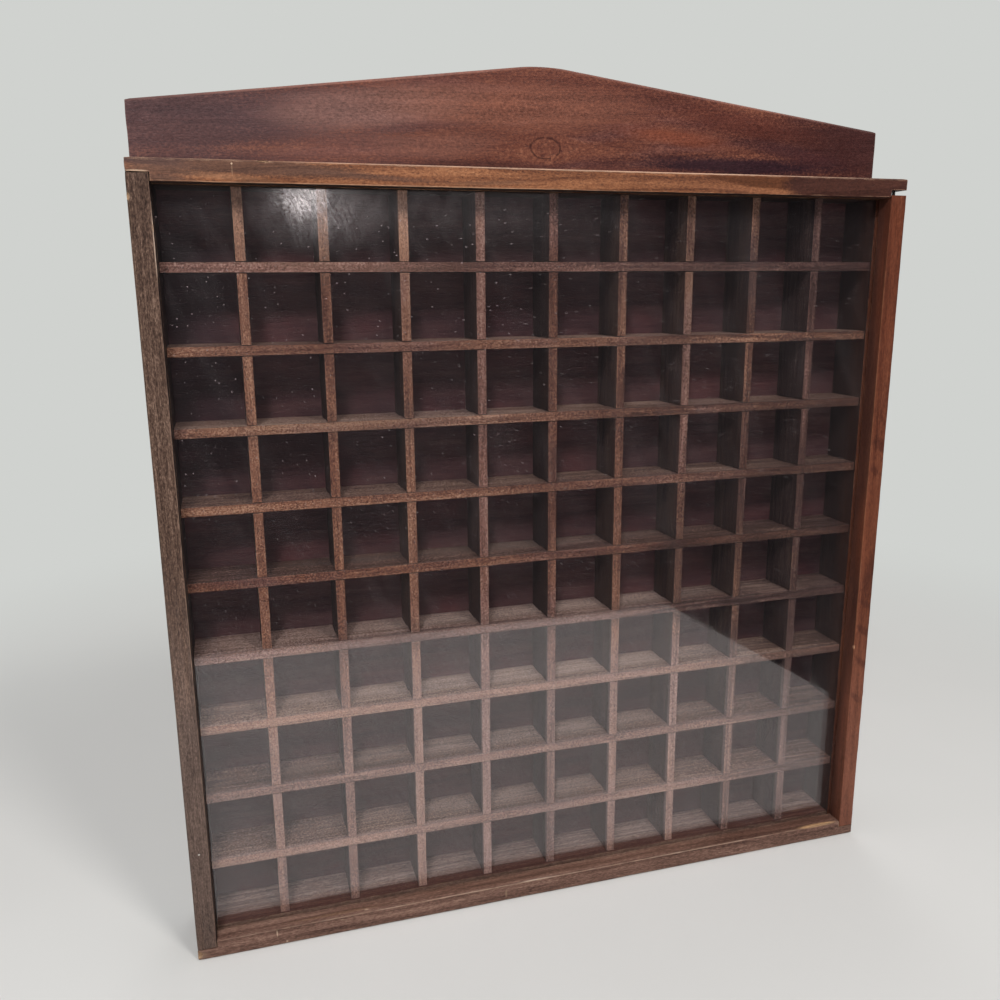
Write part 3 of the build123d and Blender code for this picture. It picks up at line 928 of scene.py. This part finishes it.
def modelSideBoard(name, low, high, side, board):
    # side is -1 for the left board and 1 for the right one
    piece = startSheet(name, (low.x, frontY, low.z), (high.x, rearY, low.z), "Z", board["wood"])
    cutAcross("X", (side * grooveHalf,))
    cutAcross("Y", (grooveFront, grooveBack))
    dropFaces(piece, lambda face: abs(middleOf(face).x) < grooveHalf and inGroove(middleOf(face)))
    pullOut(piece, lambda face: True, (0, 0, high.z - low.z))
    mendMesh()
    easeEdges(piece, lambda edge: runsAlong(edge, "Z") and lies(edge, y=frontY, x=side * topHigh.x),
              board["nose"], segments=4)
    easeEdges(piece, lambda edge: runsAlong(edge, "Z") and lies(edge, y=frontY, x=side * innerHalf),
              board["arris"], segments=2)
    cutAcross("Z", evenSteps(low.z, high.z, board["step"]))
    cutAcross("Y", besideEdges(frontY, rearY))
    cutAcross("X", evenSteps(low.x, high.x, board["fine"]))
    mendMesh()
    return finishBoard(piece, board)


def cutSlopes(piece, crest, height, drop=False):
    # cuts in line with both slopes of the crest, each on its own half; drop takes off what lies above
    for side in (-1, 1):
        choose(piece, "FACE", lambda face: middleOf(face).x * side > 0)
        slope = Vector((side * crest["rise"], 0, crestHigh.x))
        bpy.ops.mesh.bisect(plane_co=(0, 0, height), plane_no=slope, clear_outer=drop, threshold=weldReach)


def modelCrest():
    crest = {
        "end": 27.2 * mm, "rise": 23.5 * mm, "round": 11.34 * mm, "edge": 1.2 * mm, "arris": 0.4 * mm,
        "step": 2.4 * mm, "level": (1.5, 9, 18, 26), "sloping": (1.5, 6, 14),
        "wears": ((9, 2, 0.4, "rims"), (60, 1, 0.25)),
    }
    foot = crestLow.z
    peak = foot + crest["end"] + crest["rise"]
    piece = startSheet("crestBoard", (crestLow.x, crestLow.y, foot), (crestHigh.x, crestLow.y, peak), "Y",
                       crestWood)
    cutAcross("X", (0,))
    cutSlopes(piece, crest, peak, drop=True)
    pullOut(piece, lambda face: True, (0, crestHigh.y - crestLow.y, 0))
    mendMesh()
    choose(piece, "EDGE", lambda edge: runsAlong(edge, "Y") and lies(edge, z=peak))
    bpy.ops.mesh.bevel(offset=crest["round"], offset_type="OFFSET", segments=8)
    easeEdges(piece, lambda edge: near(middleOf(edge).y, crestLow.y)
              and middleOf(edge).z > foot + crest["end"] + closeBy, crest["edge"], segments=4)
    easeEdges(piece, lambda edge: atEnds(edge, crestHigh.x), crest["arris"], segments=2)
    cutAcross("X", evenSteps(crestLow.x, crestHigh.x, crest["step"]))
    cutAcross("Z", [foot + value * mm for value in crest["level"]])
    for value in crest["sloping"]:
        cutSlopes(piece, crest, peak - value * mm)
    mendMesh()
    return finishBoard(piece, crest)


slatCut = {
    "play": 0.1 * mm, "arris": 0.28 * mm, "step": 3.0 * mm,
    "wears": ((5, 2, 0.2, "rims"), (22, 1, 0.14)),
}


def modelSlat(name, low, high, slat):
    # a flat sheet with its slots left out, thickened along the axis called flat
    run, flat = "XYZ".index(slat["along"]), "XYZ".index(slat["flat"])
    far = Vector(high)
    far[flat] = low[flat]
    starts = [slat["first"] + slat["pitch"] * number for number in range(slat["count"])]
    ranges = [(start - slatCut["play"], start + slatThick + slatCut["play"]) for start in starts]
    edges = [edge for pair in ranges for edge in pair]
    piece = startSheet(name, low, far, slat["flat"], slat["wood"])
    cutAcross(slat["along"], edges)
    cutAcross("Y", (lapLine,))
    dropFaces(piece, lambda face: (middleOf(face).y - lapLine) * slat["open"] > 0
              and any(start < middleOf(face)[run] < end for start, end in ranges))
    pullOut(piece, lambda face: True, [slatThick * (axis == flat) for axis in range(3)])
    mendMesh()
    easeEdges(piece, lambda edge: runsAlong(edge, slat["along"]) and lies(edge, y=low.y),
              slatCut["arris"], segments=2)
    cutAcross(slat["along"], evenSteps(low[run], high[run], slatCut["step"], edges))
    mendMesh()
    bpy.ops.object.mode_set(mode="OBJECT")
    return piece


def repeatSlat(first, names, way):
    # a copy for each place, with a mesh of its own, worn in its own way
    for number, name in enumerate(names):
        copy = first.copy()
        copy.data = first.data.copy()
        copy.name = name.replace("_", "Slat")
        bpy.context.scene.collection.objects.link(copy)
        copy.location = Vector(way) * number
        makeActive(copy)
        bpy.ops.object.transform_apply(location=True)
        handOver(finishBoard(copy, slatCut), name)
    bpy.data.objects.remove(first)
    return len(copy.data.polygons)


def modelPane():
    pane = {"arris": 0.3 * mm}
    piece = startSheet("glassSheet", paneLow, (paneHigh.x, paneLow.y, paneHigh.z), "Y", clearGlass)
    pullOut(piece, lambda face: True, (0, paneHigh.y - paneLow.y, 0))
    mendMesh()
    easeEdges(piece, lambda edge: True, pane["arris"], segments=2)
    mendMesh()
    bpy.ops.object.mode_set(mode="OBJECT")
    return piece


topRail = modelTopRail()
bottomRail = modelBottomRail()
handOver(topRail, "top_rail")
handOver(bottomRail, "bottom_rail")
print("rails:", len(topRail.data.polygons), "and", len(bottomRail.data.polygons), "faces")
leftBoard = modelSideBoard("leftBoard", leftLow, leftHigh, -1, {
    "wood": darkSideWood,
    **boardCut, "arris": 0.35 * mm,
    "wears": ((6, 2, 0.4, "rims"), (45, 1, 0.2)),
    "chips": (
        ((-190.5, -20.9, 364.5), (1.1, 0.9, 1.9), 21),
        ((-181.0, -20.9, 352.0), (0.5, 0.5, 2.4), 22),
    ),
})
handOver(leftBoard, "left_side_board")
rightBoard = modelSideBoard("rightBoard", rightLow, rightHigh, 1, {
    "wood": orangeSideWood,
    **boardCut, "arris": 0.35 * mm,
    "wears": ((9, 2, 0.3, "rims"), (50, 1, 0.18)),
    "chips": (
        ((190.7, -20.9, 92.0), (0.8, 0.7, 1.6), 31),
    ),
})
handOver(rightBoard, "right_side_board")
crestBoard = modelCrest()
handOver(crestBoard, "crest_board")
print("side boards and crest:", len(leftBoard.data.polygons), len(rightBoard.data.polygons),
      len(crestBoard.data.polygons), "faces")
shelf = modelSlat("shelf", shelfLow, shelfHigh, {
    "wood": shelfWood, "flat": "Z", "along": "X", "first": dividerLow.x, "pitch": dividerPitch,
    "count": len(dividerNames), "open": 1,  # slotted from behind
})
shelfFaces = repeatSlat(shelf, shelfNames, (0, 0, shelfPitch))
divider = modelSlat("divider", dividerLow, dividerHigh, {
    "wood": dividerWood, "flat": "X", "along": "Z", "first": shelfLow.z, "pitch": shelfPitch,
    "count": len(shelfNames), "open": -1,  # slotted from the front
})
dividerFaces = repeatSlat(divider, dividerNames, (dividerPitch, 0, 0))
print("slats:", shelfFaces, "faces each shelf,", dividerFaces, "each divider")
handOver(modelPane(), "glass_pane")


for name, material in (
    ("back_panel", panelWood), ("left_hanger", hangerBrass), ("right_hanger", hangerBrass),
    ("frame_nails", nailSteel), ("crest_nails", nailSteel), ("back_panel_nails", nailSteel),
    ("hanger_nails", nailSteel),
):
    for slot in nodes[name].material_slots:
        slot.material = material
print("pane, panel, hangers and nails dressed")


def layFloor():
    floor = {"size": 8.0, "colour": (226, 225, 223), "mottle": (200, 200, 198), "mottleScale": 6.0,
             "mottleShare": 0.08, "roughness": 0.8, "gloss": 0.2, "fade": (0.3, 0.85)}
    bpy.ops.object.select_all(action="DESELECT")
    bpy.ops.mesh.primitive_plane_add(size=floor["size"], location=(0, 0, 0))
    sheet = bpy.context.object
    sheet.name = "floor"
    paint = Finish("paleFloor")
    faint = paint.ease(paint.noise(paint.place, floor["mottleScale"], 3.0), 0.3, 0.7)
    colour = paint.blend(faint * floor["mottleShare"], shade(*floor["colour"]), shade(*floor["mottle"]))
    values = {"Base Color": colour, "Roughness": floor["roughness"], "Specular IOR Level": floor["gloss"]}
    close = paint.node("BsdfPrincipled", None, values)
    # far from the case the floor turns into the plain backdrop, so that no horizon shows
    far = paint.node("Emission", None, {"Color": backdropColour, "Strength": 1.0})
    fade = paint.ease(paint.reach(paint.place), *floor["fade"])
    sheet.data.materials.append(paint.close(paint.mixShader(fade * paint.seen(), close, far)))


def hangCard(name, at, size, turn, material):
    # an upright card that only reflections see
    bpy.ops.mesh.primitive_plane_add(size=1, location=(0, 0, 0), rotation=(math.radians(90), 0, 0))
    card = bpy.context.object
    card.name = name
    card.scale = (*size, 1)
    bpy.ops.object.transform_apply()
    card.location = at
    card.rotation_euler = (0, 0, math.radians(turn))
    for ray in ("camera", "diffuse", "shadow", "transmission", "volume_scatter"):
        setattr(card, "visible_" + ray, False)
    card.data.materials.append(material)


def hangFlag(name, flag):
    # a black card that keeps the upper part of the glass clear of glare
    paint = Finish(name + "Card")
    black = paint.node("Emission", None, {"Color": (0.02, 0.02, 0.023, 1.0), "Strength": 1.0})
    hangCard(name, flag["at"], flag["size"], flag["turn"], paint.close(black))


def hangGlow():
    # a glowing card with a soft rim that lights nothing and shows only in reflections, as a painted glare on
    # the glass
    glow = {
        "at": (-0.087, -0.38, 0.399), "size": (0.6, 0.12), "colour": (1.0, 0.97, 0.95, 1.0), "power": 5.4,
        "ripple": (90.0, 1.0, 40.0), "spots": (
            ((0, 2), (27, 22), 0.72), ((14, -8), (66, 44), 0.2), ((50, 0), (200, 50), 0.045),
            ((190, -4), (170, 60), 0.028)),
    }
    paint = Finish("glowCard")
    glare = 0
    for (across, up), (wide, high), strength in glow["spots"]:
        moved = paint.shift(paint.place, (-across * mm, 0.0, -up * mm))
        far = paint.reach(paint.stretch(moved, (1000.0 / wide, 0.0, 1000.0 / high)))
        glare = (1 - paint.ease(far, 0.0, 1.0)) * strength + glare
    ripple = paint.ease(paint.noise(paint.place, glow["ripple"], 5.0, 0.75), 0.25, 0.7)
    clear = paint.node("BsdfTransparent", None, {"Color": (1.0, 1.0, 1.0, 1.0)})
    lit = paint.node("Emission", None, {"Color": glow["colour"], "Strength": glow["power"]})
    shader = paint.mixShader(glare * (0.15 + ripple * 1.2), clear, lit)
    hangCard("glowCard", glow["at"], glow["size"], 0, paint.close(shader))


def hangLamp(name, lamp):
    light = bpy.data.lights.new(name, "AREA")
    light.shape = "DISK"
    light.size = lamp["size"]
    light.energy = lamp["power"]
    light.color = lamp["colour"]
    holder = bpy.data.objects.new(name, light)
    bpy.context.scene.collection.objects.link(holder)
    holder.location = lamp["at"]
    aim = Vector(lamp["aim"]) - Vector(lamp["at"])
    holder.rotation_euler = aim.to_track_quat("-Z", "Y").to_euler()
    holder.visible_camera = False
    return holder


def lightRoom():
    room = {"light": (1.0, 0.99, 0.98, 1.0), "strength": 0.35}
    bpy.context.scene.world = bpy.data.worlds.new("paleRoom")
    paint = Finish("paleRoom", bpy.context.scene.world)
    light = paint.node("Background", None, {"Color": room["light"], "Strength": room["strength"]})
    backdrop = paint.node("Background", None, {"Color": backdropColour})
    paint.close(paint.mixShader(paint.seen(), light, backdrop), "OutputWorld")


def placeCamera():
    view = {"at": (-0.15537, -0.44443, 0.32711), "turn": (76.978, 0.431, -16.348), "lens": 33.21,
            "sensor": 36, "nearest": 0.01}
    camera = bpy.data.cameras.new("photoCamera")
    camera.lens = view["lens"]
    camera.sensor_width = view["sensor"]
    camera.clip_start = view["nearest"]
    holder = bpy.data.objects.new("photoCamera", camera)
    bpy.context.scene.collection.objects.link(holder)
    holder.location = view["at"]
    holder.rotation_euler = [math.radians(value) for value in view["turn"]]
    bpy.context.scene.camera = holder


backdropColour = shade(208, 210, 207)
layFloor()
hangFlag("frontFlag", {"at": (-1.23, -0.407, 0.8), "size": (3.0, 1.6), "turn": 0})
hangFlag("sideFlag", {"at": (0.29, -0.25, 0.8), "size": (0.36, 1.6), "turn": 83})
hangLamp("keyLamp", {
    "at": (-0.42, -0.89, 1.05), "aim": (0, 0, 0.2), "size": 0.22, "power": 9, "colour": (0.97, 0.99, 1.0),
})
hangLamp("sideLamp", {
    "at": (0.26, -0.79, 1.2), "aim": (0, 0, 0.2), "size": 0.25, "power": 5.6, "colour": (1.0, 0.97, 0.93),
})
hangLamp("rearLamp", {
    "at": (0.35, 1.05, 0.85), "aim": (0, 0, 0.2), "size": 0.8, "power": 2.5, "colour": (1.0, 0.99, 0.98),
})
hangGlow()
lightRoom()
placeCamera()
bpy.context.scene.view_settings.view_transform = "Standard"
print("lamps, floor and camera set")
